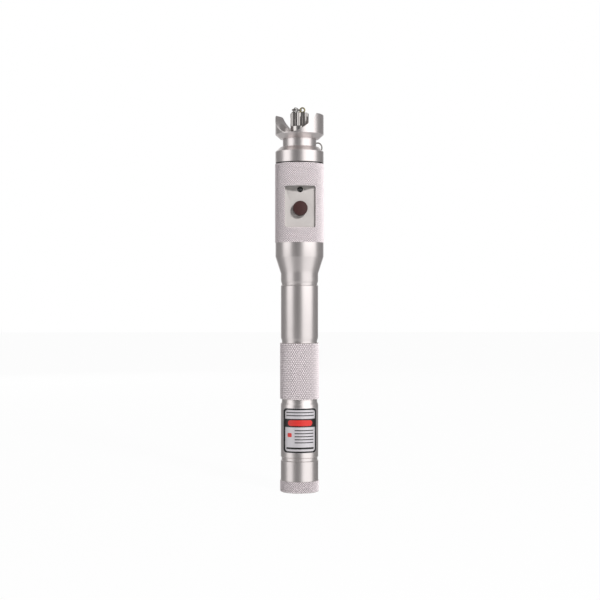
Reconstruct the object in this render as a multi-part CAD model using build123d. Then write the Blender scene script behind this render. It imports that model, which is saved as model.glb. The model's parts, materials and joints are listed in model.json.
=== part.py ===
from build123d import *

import math
import os

# Pen-type visual fault locator, standing on its tail cap.
# Millimetres. Z runs up the tool's axis from the tail cap's face, and -Y is the front, with the button.

# Clearances
running_gap = 0.05  # radial play of what turns or slides in a hole
seat_gap = 0.05  # play of a fixed piece in its seat
loose_gap = 0.15  # play round the tether ring in its hole

# Tail cap
cap_knurl_rise = 0.375  # from the plain length out to the knurl's crests
cap_knurl_length = 5.8
cap_plain_length = 10.0
cap_floor = 3.0
cap_edge = 0.5  # chamfer on the standing edge
cap_lip_edge = 0.35  # chamfer on the open end

# Tail seal, contact and spring
seal_thickness = 0.5
seal_width = 0.9
spring_room = 3.0  # depth of the cavity below the seal's ledge
tail_contact_play = 0.3
tail_contact_thickness = 0.6
spring_length = 5.4
spring_inset = 2.1  # from the contact's edge in to the spring's wire
spring_wire = 0.8
spring_turns = 4

# Cells, two of size AA
cell_radius = 7.1
cell_length = 50.5
cell_nub_length = 1.0
cell_nub_radius = 2.75
cell_edge = 0.5
cell_play = 0.35

# Battery tube
tube_wall = 1.85
tail_thread_wall = 1.05
head_thread_wall = 0.85
head_thread_length = 7.9
seam_depth = 0.325
seam_length = 1.7
seam_edge = 0.35
label_zone_rise = 0.075
label_zone_length = 26.0
lower_relief_length = 2.7
lower_relief_floor = 1.5
lower_relief_depth = 0.45
grip_rise = 0.5
grip_length = 28.0
grip_edge = 0.28
upper_relief_length = 2.6
upper_relief_floor = 0.75
upper_relief_depth = 0.5
vee_depth = 0.4
vee_length = 1.0

# Head barrel
head_vee_length = 1.3
neck_band_length = 3.8
cone_length = 8.4
chamber_radius = 10.5
head_wall = 1.5
head_band_length = 6.9
head_knurl_rise = 0.25
head_knurl_length = 39.35
head_edge = 0.25
seam_slot_length = 0.5  # the open slot between the head and its shoulder
seam_slot_depth = 0.9
chamber_step = 0.9  # the chamber starts this far above the cone
bush_radius = 5.0

# Window, plate and button
window_width = 15.2
window_height = 20.65
window_above_knurl = 7.25
window_corner = 1.0
plate_depth = 4.5  # from the knurl's crest back to the plate's face
plate_thickness = 1.2
plate_gap = 0.1
button_radius = 3.65
button_proud = 3.0
button_above_sill = 9.5
button_edge = 0.55
button_crown = 0.25
button_collar = 0.65  # how far its inner flange stands out
button_collar_thickness = 0.5
button_travel = 0.8
led_radius = 1.4
led_below_lintel = 1.75
led_proud = 0.5

# Switch and circuit board
switch_side = 6.0
switch_height = 2.6
switch_floor = 0.25
plunger_radius = 1.7
dome_thickness = 0.1
dome_rise = 0.6
board_width = 14.0
board_thickness = 1.2
board_end_gap = 1.5
board_side_gap = 0.3
board_screw_radius = 0.75
board_screw_head_radius = 1.4
board_screw_head_height = 0.7
board_screw_length = 4.5
board_screw_inset_x = 1.9
board_screw_inset_z = 2.4
chip_width = 4.0
chip_length = 5.0
chip_thickness = 1.5
chip_below_sill = 1.2
chip_neighbour_gap = 1.8  # from the chip's side to the nearest row of small parts
small_part_width = 1.6
small_part_length = 0.8
small_part_thickness = 0.6
small_part_pitch = 2.0
coil_side = 4.0
coil_thickness = 1.8
coil_above_switch = 1.6
coil_offset = 4.2

# Parts carrier
carrier_gap = 0.15
carrier_floor = 2.0
duct_width = 11.0
duct_wall = 2.2

# Front contact
contact_head_radius = 3.0
contact_head_thickness = 1.5
contact_stem_radius = 1.5
contact_stem_length = 8.0
insulator_flange_thickness = 1.0
lead_wire_radius = 0.4
lead_bend = 0.5
lead_lap = 2.0  # how far the lead lies along the board
diode_lead_radius = 0.3
diode_lead_bend = 0.4
diode_lead_lap = 1.6

# Guard head
shoulder_rise = 0.025  # proud of the head's plain band
shoulder_length = 6.05
shoulder_slope_length = 2.3
neck_wall = 2.15
neck_flare = 1.25  # how far the slopes above and below the neck stand out at the neck
neck_length = 4.1
collar_rise = 0.05
collar_slope_length = 2.2
collar_length = 9.9
collar_edge = 0.6
cup_wall = 1.95
spigot_length = 6.85
module_bore_radius = 6.2
port_floor_thickness = 3.5
saddle_radius = 11.45
saddle_above_floor = 0.15
saddle_turn = 28.8  # degrees that the saddle's mouth stands to the left of the front

# O-ring on the guard head's spigot
head_ring_section = 0.45
head_ring_below_seam = 2.9

# Optical port
port_base_radius = 4.5
port_base_length = 4.0
port_thread_radius = 3.9
port_thread_length = 5.0
port_shank_radius = 3.5
port_shank_reach = 2.5  # how far the shank reaches below the port's floor
ferrule_radius = 1.25
sleeve_wall = 0.35
sleeve_length = 11.4
sleeve_slit = 0.3
sleeve_lip = 0.5
light_hole_radius = 0.8
lock_nut_thickness = 1.9
lock_nut_play = 0.3

# Laser module
module_length = 12.0
module_web = 1.5
module_aperture_radius = 1.5
module_wall = 1.55
lens_thickness = 2.2
lens_edge_thickness = 1.2
lens_ring_thickness = 1.4
lens_ring_bore = 3.4
diode_flange_radius = 2.8
diode_flange_thickness = 1.2
diode_can_radius = 1.78
diode_can_height = 2.4
diode_pin_radius = 0.225
diode_pin_circle = 1.27
diode_pin_length = 4.6
holder_thickness = 3.2
holder_above_foot = 0.6

# Dust cap
dust_cap_radius = 4.575
dust_cap_groove = 0.3
dust_cap_ridges = 24
dust_cap_roof = 1.2
dust_cap_edge = 0.3
liner_thickness = 0.6
swivel_stem_radius = 0.6
swivel_foot_radius = 1.2
swivel_foot_thickness = 0.5
swivel_head_height = 0.9
eye_radius = 1.1
eye_wire = 0.38

# Tether
ring_radius = 2.6
ring_wire = 0.33
ring_outset = 1.71  # from the neck out to the ring's centre
ring_bearing = 24.3
ring_facing = 147.7
ring_above_shoulder = 0.2
link_length = 3.0
link_width = 2.2
link_wire = 0.25
link_pitch = 1.8
route_grid = 1.0  # the chain's route is laid on a grid of this size
eye_link_roll = 22.0  # how far the link in the swivel's eye leans over
hitch_angle = 52.0  # where the last link holds the tether ring
hitch_bearing = 90.0  # the way in which the chain leaves the ring

# Label
label_width = 16.4
label_height = 22.1
label_above_seam = 2.45
label_corner = 1.6
label_thickness = 0.1
print_thickness = 0.04
border_width = 0.75
border_inset = 0.1
band_height = 4.15
band_below_top = 5.2
bar_width = 12.0
bar_height = 2.9
rule_height = 0.45
rule_pitch = 1.5
rule_count = 5
rule_width = 9.4
rule_aside = 1.9  # how far the lower rules stand to the right of the middle
rule_below_band = 1.6
title_width = 13.6
title_below_top = 2.1
foot_rule_height = 0.9
foot_rule_above_edge = 2.35
block_side = 2.0
block_aside = -5.2
block_below_band = 3.9

# Heights from the standing face, worked out from the lengths above
cap_top = cap_knurl_length + cap_plain_length
seal_ledge = cap_floor + spring_room
tube_bottom = seal_ledge + seal_thickness
seam_top = cap_top + seam_length
label_zone_top = seam_top + label_zone_length
grip_bottom = label_zone_top + lower_relief_length
grip_top = grip_bottom + grip_length
relief_top = grip_top + upper_relief_length
spring_bottom = cap_floor + tail_contact_thickness
cells_bottom = spring_bottom + spring_length
cells_top = cells_bottom + 2 * cell_length
tube_top = cells_top + contact_head_thickness
tube_shoulder = tube_top - head_thread_length
cone_bottom = tube_shoulder + head_vee_length + neck_band_length
cone_top = cone_bottom + cone_length
web_bottom = tube_top + insulator_flange_thickness
chamber_bottom = cone_top + chamber_step
knurl_bottom = cone_top + head_band_length
knurl_top = knurl_bottom + head_knurl_length
window_bottom = knurl_bottom + window_above_knurl
window_top = window_bottom + window_height
window_middle = (window_bottom + window_top) / 2
button_height = window_bottom + button_above_sill
led_height = window_top - led_below_lintel
spigot_bottom = knurl_top - spigot_length
slope_bottom = knurl_top + shoulder_length
shoulder_top = slope_bottom + shoulder_slope_length
neck_top = shoulder_top + neck_length
cup_floor = neck_top + collar_slope_length
collar_top = cup_floor + collar_length
module_bore_top = cup_floor - port_floor_thickness
shank_bottom = module_bore_top - port_shank_reach
module_bottom = shank_bottom - module_length
lens_seat = shank_bottom - module_web
holder_bottom = module_bottom + holder_above_foot
port_thread_bottom = cup_floor + port_base_length
port_thread_top = port_thread_bottom + port_thread_length
sleeve_top = port_thread_top - sleeve_lip
sleeve_bottom = sleeve_top - sleeve_length
liner_top = port_thread_top + liner_thickness
dust_cap_top = liner_top + dust_cap_roof
board_bottom = chamber_bottom + carrier_floor + board_end_gap
board_top = spigot_bottom - board_end_gap
label_bottom = seam_top + label_above_seam
label_top = label_bottom + label_height

# The head's outer radii
head_band_radius = chamber_radius + head_wall
head_knurl_radius = head_band_radius + head_knurl_rise

# Depths along Y, from the front of the window inwards
plate_front = -(head_knurl_radius - plate_depth)
plate_back = plate_front + plate_thickness
collar_front = plate_back + plate_gap
collar_back = collar_front + button_collar_thickness
switch_front = collar_back + button_travel + running_gap
board_front = switch_front + switch_height
board_back = board_front + board_thickness

# Radii that follow others
tube_bore = cell_radius + cell_play
tail_thread_radius = tube_bore + tail_thread_wall
head_thread_radius = tube_bore + head_thread_wall
tube_radius = tube_bore + tube_wall
seam_radius = tube_radius - seam_depth
label_zone_radius = tube_radius + label_zone_rise
lower_relief_radius = tube_radius - lower_relief_depth
upper_relief_radius = tube_radius - upper_relief_depth
grip_radius = tube_radius + grip_rise
vee_radius = tube_radius - vee_depth
cap_plain_radius = label_zone_radius
cap_knurl_radius = cap_plain_radius + cap_knurl_rise
cap_cavity_radius = tail_thread_radius - seal_width
tail_contact_radius = cap_cavity_radius - tail_contact_play
spring_radius = tail_contact_radius - spring_inset
cap_thread_bore = tail_thread_radius + running_gap
head_thread_bore = head_thread_radius + 2 * seat_gap
shoulder_radius = head_band_radius + shoulder_rise
neck_radius = module_bore_radius + neck_wall
neck_foot_radius = neck_radius + neck_flare
collar_radius = head_band_radius + collar_rise
cup_radius = collar_radius - cup_wall
module_bore_inside = module_bore_radius - seat_gap - module_wall
lock_nut_radius = module_bore_radius - lock_nut_play
ring_distance = neck_radius + ring_outset
chamber_fit = chamber_radius - seat_gap
carrier_radius = chamber_radius - carrier_gap
sleeve_radius = ferrule_radius + sleeve_wall
dust_cap_bore = port_thread_radius + running_gap
swivel_hole_radius = swivel_stem_radius + running_gap
plunger_end = switch_front + switch_height - switch_floor - button_travel - running_gap


def turned(*corners):
    """A solid of revolution about Z from its (radius, height) corners."""
    outline = Polyline(*[(radius, 0, height) for radius, height in corners], close=True)
    return revolve(make_face(outline), Axis.Z)


def drum(radius, low, high):
    """A cylinder on the tool's axis."""
    upright = Cylinder(radius, high - low, align=(Align.CENTER, Align.CENTER, Align.MIN))
    return Pos(0, 0, low) * upright


def tube(outer, inner, low, high):
    """A plain ring or sleeve on the tool's axis."""
    return turned((inner, low), (outer, low), (outer, high), (inner, high))


def peg(radius, x, height, front, back):
    """A cylinder along Y, from its front face to its back face."""
    lying = Rot(-90, 0, 0) * Cylinder(radius, back - front, align=(Align.CENTER, Align.CENTER, Align.MIN))
    return Pos(x, front, height) * lying


def block(x, y, z):
    """A box from its (low, high) pairs."""
    middle = Pos((x[0] + x[1]) / 2, (y[0] + y[1]) / 2, (z[0] + z[1]) / 2)
    return middle * Box(x[1] - x[0], y[1] - y[0], z[1] - z[0])


def panel(width, height, corner, middle, front, back):
    """A rounded plate that faces the front."""
    face = Plane(origin=(0, front, middle), x_dir=(1, 0, 0), z_dir=(0, 1, 0))
    return extrude(face * RectangleRounded(width, height, corner), back - front)


def arc_middle(reach, rise):
    """Half way along an arc centred on its axis: how far out, and how far below its crown."""
    ball = (reach**2 + rise**2) / (2 * rise)
    half_turn = math.asin(reach / ball) / 2
    return ball * math.sin(half_turn), ball * (1 - math.cos(half_turn))


def bearing_point(distance, bearing, height):
    """A point at a distance from the axis, at a bearing in degrees from +X."""
    turn = math.radians(bearing)
    return Vector(distance * math.cos(turn), distance * math.sin(turn), height)


def tail_cap():
    shell = turned(
        (0, 0),
        (cap_knurl_radius - cap_edge, 0),
        (cap_knurl_radius, cap_edge),
        (cap_knurl_radius, cap_knurl_length - grip_edge),
        (cap_knurl_radius - grip_edge, cap_knurl_length),
        (cap_plain_radius, cap_knurl_length),
        (cap_plain_radius, cap_top - cap_lip_edge),
        (cap_plain_radius - cap_lip_edge, cap_top),
        (cap_thread_bore, cap_top),
        (cap_thread_bore, seal_ledge),
        (cap_cavity_radius, seal_ledge),
        (cap_cavity_radius, cap_floor),
        (0, cap_floor),
    )
    return shell


def tail_seal():
    return tube(tail_thread_radius, cap_cavity_radius, seal_ledge, tube_bottom)


def tail_contact():
    return drum(tail_contact_radius, cap_floor, spring_bottom)


def tail_spring():
    wire_radius = spring_wire / 2
    rise = spring_length - spring_wire
    path = Helix(pitch=rise / spring_turns, height=rise, radius=spring_radius)
    path = Pos(0, 0, spring_bottom + wire_radius) * path
    section = Plane(origin=path @ 0, z_dir=path % 0) * Circle(wire_radius)
    return sweep(section, path=path, is_frenet=True)


def cell(bottom):
    """One cell, its positive nub upwards."""
    body_top = bottom + cell_length - cell_nub_length
    return turned(
        (0, bottom),
        (cell_radius - cell_edge, bottom),
        (cell_radius, bottom + cell_edge),
        (cell_radius, body_top - cell_edge),
        (cell_radius - cell_edge, body_top),
        (cell_nub_radius, body_top),
        (cell_nub_radius, bottom + cell_length),
        (0, bottom + cell_length),
    )


def battery_tube():
    relief_slope = lower_relief_length - lower_relief_floor
    return turned(
        (tube_bore, tube_bottom),
        (tail_thread_radius, tube_bottom),
        (tail_thread_radius, cap_top),
        (seam_radius, cap_top),
        (seam_radius, seam_top - seam_edge),
        (label_zone_radius, seam_top),
        (label_zone_radius, label_zone_top),
        (lower_relief_radius, label_zone_top + relief_slope),
        (lower_relief_radius, grip_bottom),
        (grip_radius - grip_edge, grip_bottom),
        (grip_radius, grip_bottom + grip_edge),
        (grip_radius, grip_top - grip_edge),
        (grip_radius - grip_edge, grip_top),
        (upper_relief_radius, grip_top),
        (upper_relief_radius, grip_top + upper_relief_floor),
        (tube_radius, relief_top),
        (tube_radius, tube_shoulder - vee_length),
        (vee_radius, tube_shoulder - vee_length / 2),
        (vee_radius, tube_shoulder),
        (head_thread_radius, tube_shoulder),
        (head_thread_radius, tube_top),
        (tube_bore, tube_top),
    )


def window_cutter(front, back):
    return panel(window_width, window_height, window_corner, window_middle, front, back)


def head_barrel():
    shell = turned(
        (head_thread_bore, tube_shoulder),
        (vee_radius, tube_shoulder),
        (tube_radius, tube_shoulder + head_vee_length),
        (tube_radius, cone_bottom),
        (head_band_radius, cone_top),
        (head_band_radius, knurl_bottom),
        (head_knurl_radius, knurl_bottom + head_edge),
        (head_knurl_radius, knurl_top - head_edge),
        (head_knurl_radius - head_edge, knurl_top),
        (chamber_radius, knurl_top),
        (chamber_radius, chamber_bottom),
        (bush_radius + seat_gap, chamber_bottom),
        (bush_radius + seat_gap, web_bottom),
        (head_thread_bore, web_bottom),
    )
    return shell - window_cutter(-head_knurl_radius - 1, plate_back)


def contact_insulator():
    shank_hole = contact_stem_radius + seat_gap
    return turned(
        (shank_hole, tube_top),
        (head_thread_radius, tube_top),
        (head_thread_radius, web_bottom),
        (bush_radius, web_bottom),
        (bush_radius, chamber_bottom),
        (shank_hole, chamber_bottom),
    )


def positive_contact():
    head = drum(contact_head_radius, cells_top, tube_top)
    return head + drum(contact_stem_radius, tube_top, tube_top + contact_stem_length)


def switch_plate():
    side = window_width - 2 * plate_gap
    height = window_height - 2 * plate_gap
    plate = panel(side, height, window_corner - plate_gap, window_middle, plate_front, plate_back)
    plate -= peg(button_radius + running_gap, 0, button_height, plate_front - 1, plate_back + 1)
    return plate - peg(led_radius + seat_gap, 0, led_height, plate_front - 1, plate_back + 1)


def power_button():
    """The button's stem, crown and the flange that keeps it behind the plate."""
    face = plate_front - button_proud
    outline = Polyline(
        (0, collar_back),
        (button_radius + button_collar, collar_back),
        (button_radius + button_collar, collar_front),
        (button_radius, collar_front),
        (button_radius, face + button_edge + button_crown),
    )
    shoulder = (button_radius - button_edge, face + button_crown)
    outline += ThreePointArc(
        (button_radius, face + button_edge + button_crown),
        (
            button_radius - button_edge * (1 - math.sqrt(0.5)),
            face + button_crown + button_edge * (1 - math.sqrt(0.5)),
        ),
        shoulder,
    )
    out, down = arc_middle(shoulder[0], button_crown)
    outline += ThreePointArc(shoulder, (out, face + down), (0, face))
    outline += Line((0, face), (0, collar_back))
    return Pos(0, 0, button_height) * revolve(make_face(outline), Axis.Y)


def switch_plunger():
    return peg(plunger_radius, 0, button_height, collar_back, plunger_end)


def tact_switch():
    half = switch_side / 2
    body = block((-half, half), (switch_front, board_front), (button_height - half, button_height + half))
    return body - peg(plunger_radius + running_gap, 0, button_height, switch_front - 1, board_front - switch_floor)


def switch_dome():
    """The snap disc that throws the button back."""
    foot = board_front - switch_floor
    crown = foot - dome_rise
    reach = plunger_radius - running_gap
    out, down = arc_middle(reach, dome_rise - dome_thickness)
    upper = ThreePointArc((0, crown), (out, crown + down), (reach, foot - dome_thickness))
    lower = ThreePointArc((reach, foot), (out, crown + dome_thickness + down), (0, crown + dome_thickness))
    rim = Line((reach, foot - dome_thickness), (reach, foot))
    middle = Line((0, crown + dome_thickness), (0, crown))
    return Pos(0, 0, button_height) * revolve(make_face(upper + rim + lower + middle), Axis.Y)


def indicator_led():
    """A round lamp with a domed nose, on two pins that reach the board."""
    nose = plate_front - led_proud
    base = plate_back + plate_thickness
    body = peg(led_radius, 0, led_height, nose + led_radius, base)
    body += Pos(0, nose + led_radius, led_height) * Sphere(led_radius)
    for x in (-led_radius / 2, led_radius / 2):
        body += peg(lead_wire_radius / 2, x, led_height, base, board_front)
    return body


def board_screw_places():
    x = board_width / 2 - board_screw_inset_x
    return ((x, board_top - board_screw_inset_z), (-x, board_bottom + board_screw_inset_z))


def circuit_board():
    board = block(
        (-board_width / 2, board_width / 2),
        (board_front, board_back),
        (board_bottom, board_top),
    )
    for x, height in board_screw_places():
        board -= peg(board_screw_radius + seat_gap, x, height, board_front - 1, board_back + 1)
    return board


def board_screws():
    screws = []
    for x, height in board_screw_places():
        head = peg(board_screw_head_radius, x, height, board_front - board_screw_head_height, board_front)
        screws.append(head + peg(board_screw_radius, x, height, board_front, board_front + board_screw_length))
    return Compound(children=screws)


def on_board(width, height, thickness, x, middle):
    """A small block soldered to the front of the board."""
    return block(
        (x - width / 2, x + width / 2),
        (board_front - thickness, board_front),
        (middle - height / 2, middle + height / 2),
    )


def driver_chip():
    return on_board(chip_width, chip_length, chip_thickness, 0, window_bottom - chip_below_sill)


def circuit_parts():
    """The coil and the small resistors and capacitors beside the driver."""
    row = window_bottom - chip_below_sill
    column = chip_width / 2 + chip_neighbour_gap + small_part_width / 2
    small = [
        on_board(small_part_width, small_part_length, small_part_thickness, x, row + step * small_part_pitch)
        for x in (-column, column)
        for step in (-1, 0, 1)
    ]
    coil_middle = button_height + switch_side / 2 + coil_above_switch + coil_side / 2
    coil = on_board(coil_side, coil_side, coil_thickness, coil_offset, coil_middle)
    return Compound(children=[*small, coil])


def module_carrier():
    """The moulded half-round chassis behind the plate."""
    half = board_width / 2 + board_side_gap
    pocket_bottom = chamber_bottom + carrier_floor
    body = drum(carrier_radius, chamber_bottom, spigot_bottom)
    front = -chamber_radius - 1
    body -= block((-chamber_radius, chamber_radius), (front, plate_back), (chamber_bottom, spigot_bottom))
    body -= block((-half, half), (front, board_back), (pocket_bottom, spigot_bottom))
    body -= block(
        (-duct_width / 2, duct_width / 2),
        (board_back + duct_wall, carrier_radius - duct_wall),
        (pocket_bottom, spigot_bottom),
    )
    body -= drum(contact_stem_radius + 2 * loose_gap, chamber_bottom, board_bottom)
    slot = lead_wire_radius + loose_gap
    body -= block((-slot, slot), (board_back, 0), (pocket_bottom, board_bottom))
    for x, height in board_screw_places():
        body -= peg(board_screw_radius + seat_gap, x, height, board_back, board_front + board_screw_length + seat_gap)
    return body


def wire(radius, bend, *points):
    """A lead: straight runs joined by arcs, with a round section."""
    path = FilletPolyline(*points, radius=bend)
    section = Plane(origin=path @ 0, z_dir=path % 0) * Circle(radius)
    return sweep(section, path=path)


def battery_lead():
    stem_top = tube_top + contact_stem_length
    turn_height = (stem_top + board_bottom) / 2
    lead_y = board_front - lead_wire_radius - seat_gap
    return wire(
        lead_wire_radius,
        lead_bend,
        (0, 0, stem_top),
        (0, 0, turn_height),
        (0, lead_y, turn_height),
        (0, lead_y, board_bottom + lead_lap),
    )


def laser_leads():
    """Two leads from the diode's pins to the top of the board."""
    pin_end = holder_bottom + holder_thickness - diode_flange_thickness - diode_pin_length
    turn_height = spigot_bottom + diode_lead_radius + seat_gap
    lead_y = board_front - diode_lead_radius - seat_gap
    leads = [
        wire(
            diode_lead_radius,
            diode_lead_bend,
            (x, 0, pin_end),
            (x, 0, turn_height),
            (x, lead_y, turn_height),
            (x, lead_y, board_top - diode_lead_lap),
        )
        for x in (-diode_pin_circle, diode_pin_circle)
    ]
    return Compound(children=leads)


def laser_housing():
    return turned(
        (module_bore_inside, module_bottom),
        (module_bore_radius - seat_gap, module_bottom),
        (module_bore_radius - seat_gap, shank_bottom),
        (module_aperture_radius, shank_bottom),
        (module_aperture_radius, lens_seat),
        (module_bore_inside, lens_seat),
    )


def diode_holder():
    seat = holder_bottom + holder_thickness - diode_flange_thickness
    through = diode_pin_circle + 2 * diode_pin_radius
    return turned(
        (through, holder_bottom),
        (module_bore_inside - seat_gap, holder_bottom),
        (module_bore_inside - seat_gap, holder_bottom + holder_thickness),
        (diode_flange_radius + seat_gap, holder_bottom + holder_thickness),
        (diode_flange_radius + seat_gap, seat),
        (through, seat),
    )


def laser_diode():
    """A flanged can on three pins."""
    seat = holder_bottom + holder_thickness - diode_flange_thickness
    flange_top = seat + diode_flange_thickness
    diode = drum(diode_flange_radius, seat, flange_top)
    diode += drum(diode_can_radius, flange_top, flange_top + diode_can_height)
    pins = ((-diode_pin_circle, 0), (diode_pin_circle, 0), (0, diode_pin_circle))
    for x, y in pins:
        diode += Pos(x, y, 0) * drum(diode_pin_radius, seat - diode_pin_length, seat)
    return diode


def focusing_lens():
    """A plano-convex lens, its flat face against the housing's web."""
    rim = module_bore_inside - seat_gap
    shoulder = lens_seat - lens_edge_thickness
    apex = lens_seat - lens_thickness
    out, up = arc_middle(rim, lens_thickness - lens_edge_thickness)
    dome = ThreePointArc((rim, 0, shoulder), (out, 0, apex + up), (0, 0, apex))
    sides = Polyline((0, 0, apex), (0, 0, lens_seat), (rim, 0, lens_seat), (rim, 0, shoulder))
    return revolve(make_face(dome + sides), Axis.Z)


def lens_ring():
    """A threaded ring whose inner edge bears on the lens's dome."""
    outer = module_bore_inside - seat_gap
    rise = lens_thickness - lens_edge_thickness
    ball = (outer**2 + rise**2) / (2 * rise)
    top = lens_seat - lens_thickness + ball - math.sqrt(ball**2 - lens_ring_bore**2)
    return tube(outer, lens_ring_bore, top - lens_ring_thickness, top)


def ring_centre():
    return bearing_point(ring_distance, ring_bearing, shoulder_top + ring_above_shoulder)


def ring_plane():
    across = bearing_point(1, ring_facing - 90, 0)
    return Plane(origin=ring_centre(), z_dir=across)


def guard_head():
    """Shoulder, neck and open collar turned in one piece, with the saddle milled across the collar."""
    body = turned(
        (module_bore_radius, spigot_bottom),
        (chamber_fit, spigot_bottom),
        (chamber_fit, knurl_top),
        (shoulder_radius - seam_slot_depth, knurl_top),
        (shoulder_radius - seam_slot_depth, knurl_top + seam_slot_length),
        (shoulder_radius, knurl_top + seam_slot_length),
        (shoulder_radius, slope_bottom),
        (neck_foot_radius, shoulder_top),
        (neck_radius, shoulder_top),
        (neck_radius, neck_top),
        (neck_foot_radius, neck_top),
        (collar_radius, cup_floor),
        (collar_radius, collar_top),
        (cup_radius, collar_top),
        (cup_radius, cup_floor),
        (port_shank_radius + seat_gap, cup_floor),
        (port_shank_radius + seat_gap, module_bore_top),
        (module_bore_radius, module_bore_top),
    )
    rims = body.edges().filter_by(GeomType.CIRCLE).group_by(Axis.Z)[-1]
    body = fillet(rims.sort_by(SortBy.RADIUS)[-1], collar_edge)
    section = 2 * head_ring_section
    groove_low = knurl_top - head_ring_below_seam - section / 2 - seat_gap
    body -= tube(chamber_radius + 1, chamber_fit - section, groove_low, groove_low + section + 2 * seat_gap)
    saddle_height = cup_floor + saddle_above_floor + saddle_radius
    mouth = bearing_point(1, -90 - saddle_turn, 0)
    body -= Plane(origin=(0, 0, saddle_height), z_dir=mouth) * Cylinder(saddle_radius, 4 * collar_radius)
    return body - ring_plane() * Torus(ring_radius, ring_wire + loose_gap)


def head_o_ring():
    centre = chamber_radius - running_gap / 2 - head_ring_section
    return Pos(0, 0, knurl_top - head_ring_below_seam) * Torus(centre, head_ring_section)


def adapter_barrel():
    """The port's shank, polished base and threaded barrel."""
    bore = sleeve_radius + seat_gap
    return turned(
        (light_hole_radius, shank_bottom),
        (port_shank_radius, shank_bottom),
        (port_shank_radius, cup_floor),
        (port_base_radius, cup_floor),
        (port_base_radius, port_thread_bottom),
        (port_thread_radius, port_thread_bottom),
        (port_thread_radius, port_thread_top),
        (ferrule_radius + seat_gap, port_thread_top),
        (ferrule_radius + seat_gap, sleeve_top),
        (bore, sleeve_top),
        (bore, sleeve_bottom),
        (light_hole_radius, sleeve_bottom),
    )


def ceramic_sleeve():
    sleeve = tube(sleeve_radius, ferrule_radius, sleeve_bottom, sleeve_top)
    slit = block(
        (-sleeve_slit / 2, sleeve_slit / 2),
        (0, 2 * sleeve_radius),
        (sleeve_bottom, sleeve_top),
    )
    return sleeve - slit


def adapter_lock_nut():
    return tube(lock_nut_radius, port_shank_radius + seat_gap, module_bore_top - lock_nut_thickness, module_bore_top)


def dust_cap():
    """A threaded cap with straight ridges and a hole in its roof for the swivel."""
    step = math.radians(180 / dust_cap_ridges)
    radii = (dust_cap_radius, dust_cap_radius - dust_cap_groove)
    points = [
        (radii[k % 2] * math.sin(k * step), radii[k % 2] * math.cos(k * step)) for k in range(2 * dust_cap_ridges)
    ]
    outline = make_face(Polyline(*points, close=True))
    ridged = Pos(0, 0, port_thread_bottom) * extrude(outline, dust_cap_top - port_thread_bottom)
    envelope = turned(
        (0, port_thread_bottom),
        (dust_cap_radius - dust_cap_edge, port_thread_bottom),
        (dust_cap_radius, port_thread_bottom + dust_cap_edge),
        (dust_cap_radius, dust_cap_top - dust_cap_edge),
        (dust_cap_radius - dust_cap_edge, dust_cap_top),
        (0, dust_cap_top),
    )
    cap = ridged & envelope
    cap -= drum(dust_cap_bore, port_thread_bottom, liner_top)
    cap -= drum(swivel_foot_radius + running_gap, liner_top, liner_top + swivel_foot_thickness + 2 * running_gap)
    return cap - drum(swivel_hole_radius, liner_top, dust_cap_top)


def cap_liner():
    return drum(dust_cap_bore - running_gap, port_thread_top, liner_top)


def cap_swivel():
    """A stem that turns in the cap's roof, with an eye for the chain."""
    foot_bottom = liner_top + running_gap
    foot_top = foot_bottom + swivel_foot_thickness
    stem_top = dust_cap_top + swivel_head_height
    swivel = drum(swivel_foot_radius, foot_bottom, foot_top)
    swivel += drum(swivel_stem_radius, foot_top, stem_top)
    eye = Plane(origin=eye_centre(), z_dir=(0, 1, 0)) * Torus(eye_radius, eye_wire)
    return swivel + eye


def eye_centre():
    return Vector(eye_radius + eye_wire, 0, dust_cap_top + eye_radius + eye_wire + loose_gap)


def link():
    """One chain link on the XY plane, its long side along X."""
    reach = link_length / 2 - link_width / 2
    bow = link_width / 2 - link_wire
    right = revolve(Pos(0, bow, 0) * (Plane.YZ * Circle(link_wire)), Axis.Z, -180)
    rod = Pos(0, bow, 0) * (Rot(0, 90, 0) * Cylinder(link_wire, 2 * reach))
    other = Pos(0, -bow, 0) * (Rot(0, 90, 0) * Cylinder(link_wire, 2 * reach))
    left = Rot(0, 0, 180) * (Pos(reach, 0, 0) * right)
    return Pos(reach, 0, 0) * right + left + rod + other


def first_link_frame():
    """The centre, direction and normal of the link that holds the swivel's eye."""
    reach = link_length / 2 - 2 * link_wire - loose_gap / 2 - eye_wire
    lean = math.radians(eye_link_roll)
    hold = eye_centre() - Vector(eye_radius, 0, 0)
    return hold - Vector(reach, 0, 0), Vector(-1, 0, 0), Vector(0, -math.sin(lean), math.cos(lean))


def last_link_frame():
    """The same for the link that holds the tether ring."""
    facing = bearing_point(1, ring_facing, 0)
    turn = math.radians(hitch_angle)
    up = Vector(0, 0, 1)
    wire_way = up * math.cos(turn) - facing * math.sin(turn)
    away = bearing_point(1, hitch_bearing, 0)
    reach = link_length / 2 - 2 * link_wire - loose_gap - ring_wire
    centre = ring_centre() + (facing * math.cos(turn) + up * math.sin(turn)) * ring_radius + away * reach
    return centre, away * -1, (wire_way - away * wire_way.dot(away)).normalized()


def on_route(across, back, above, level):
    """A point of the chain's route, in steps of its grid from the axis and above a level."""
    return Vector(across, back, above) * route_grid + Vector(0, 0, level)


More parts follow.
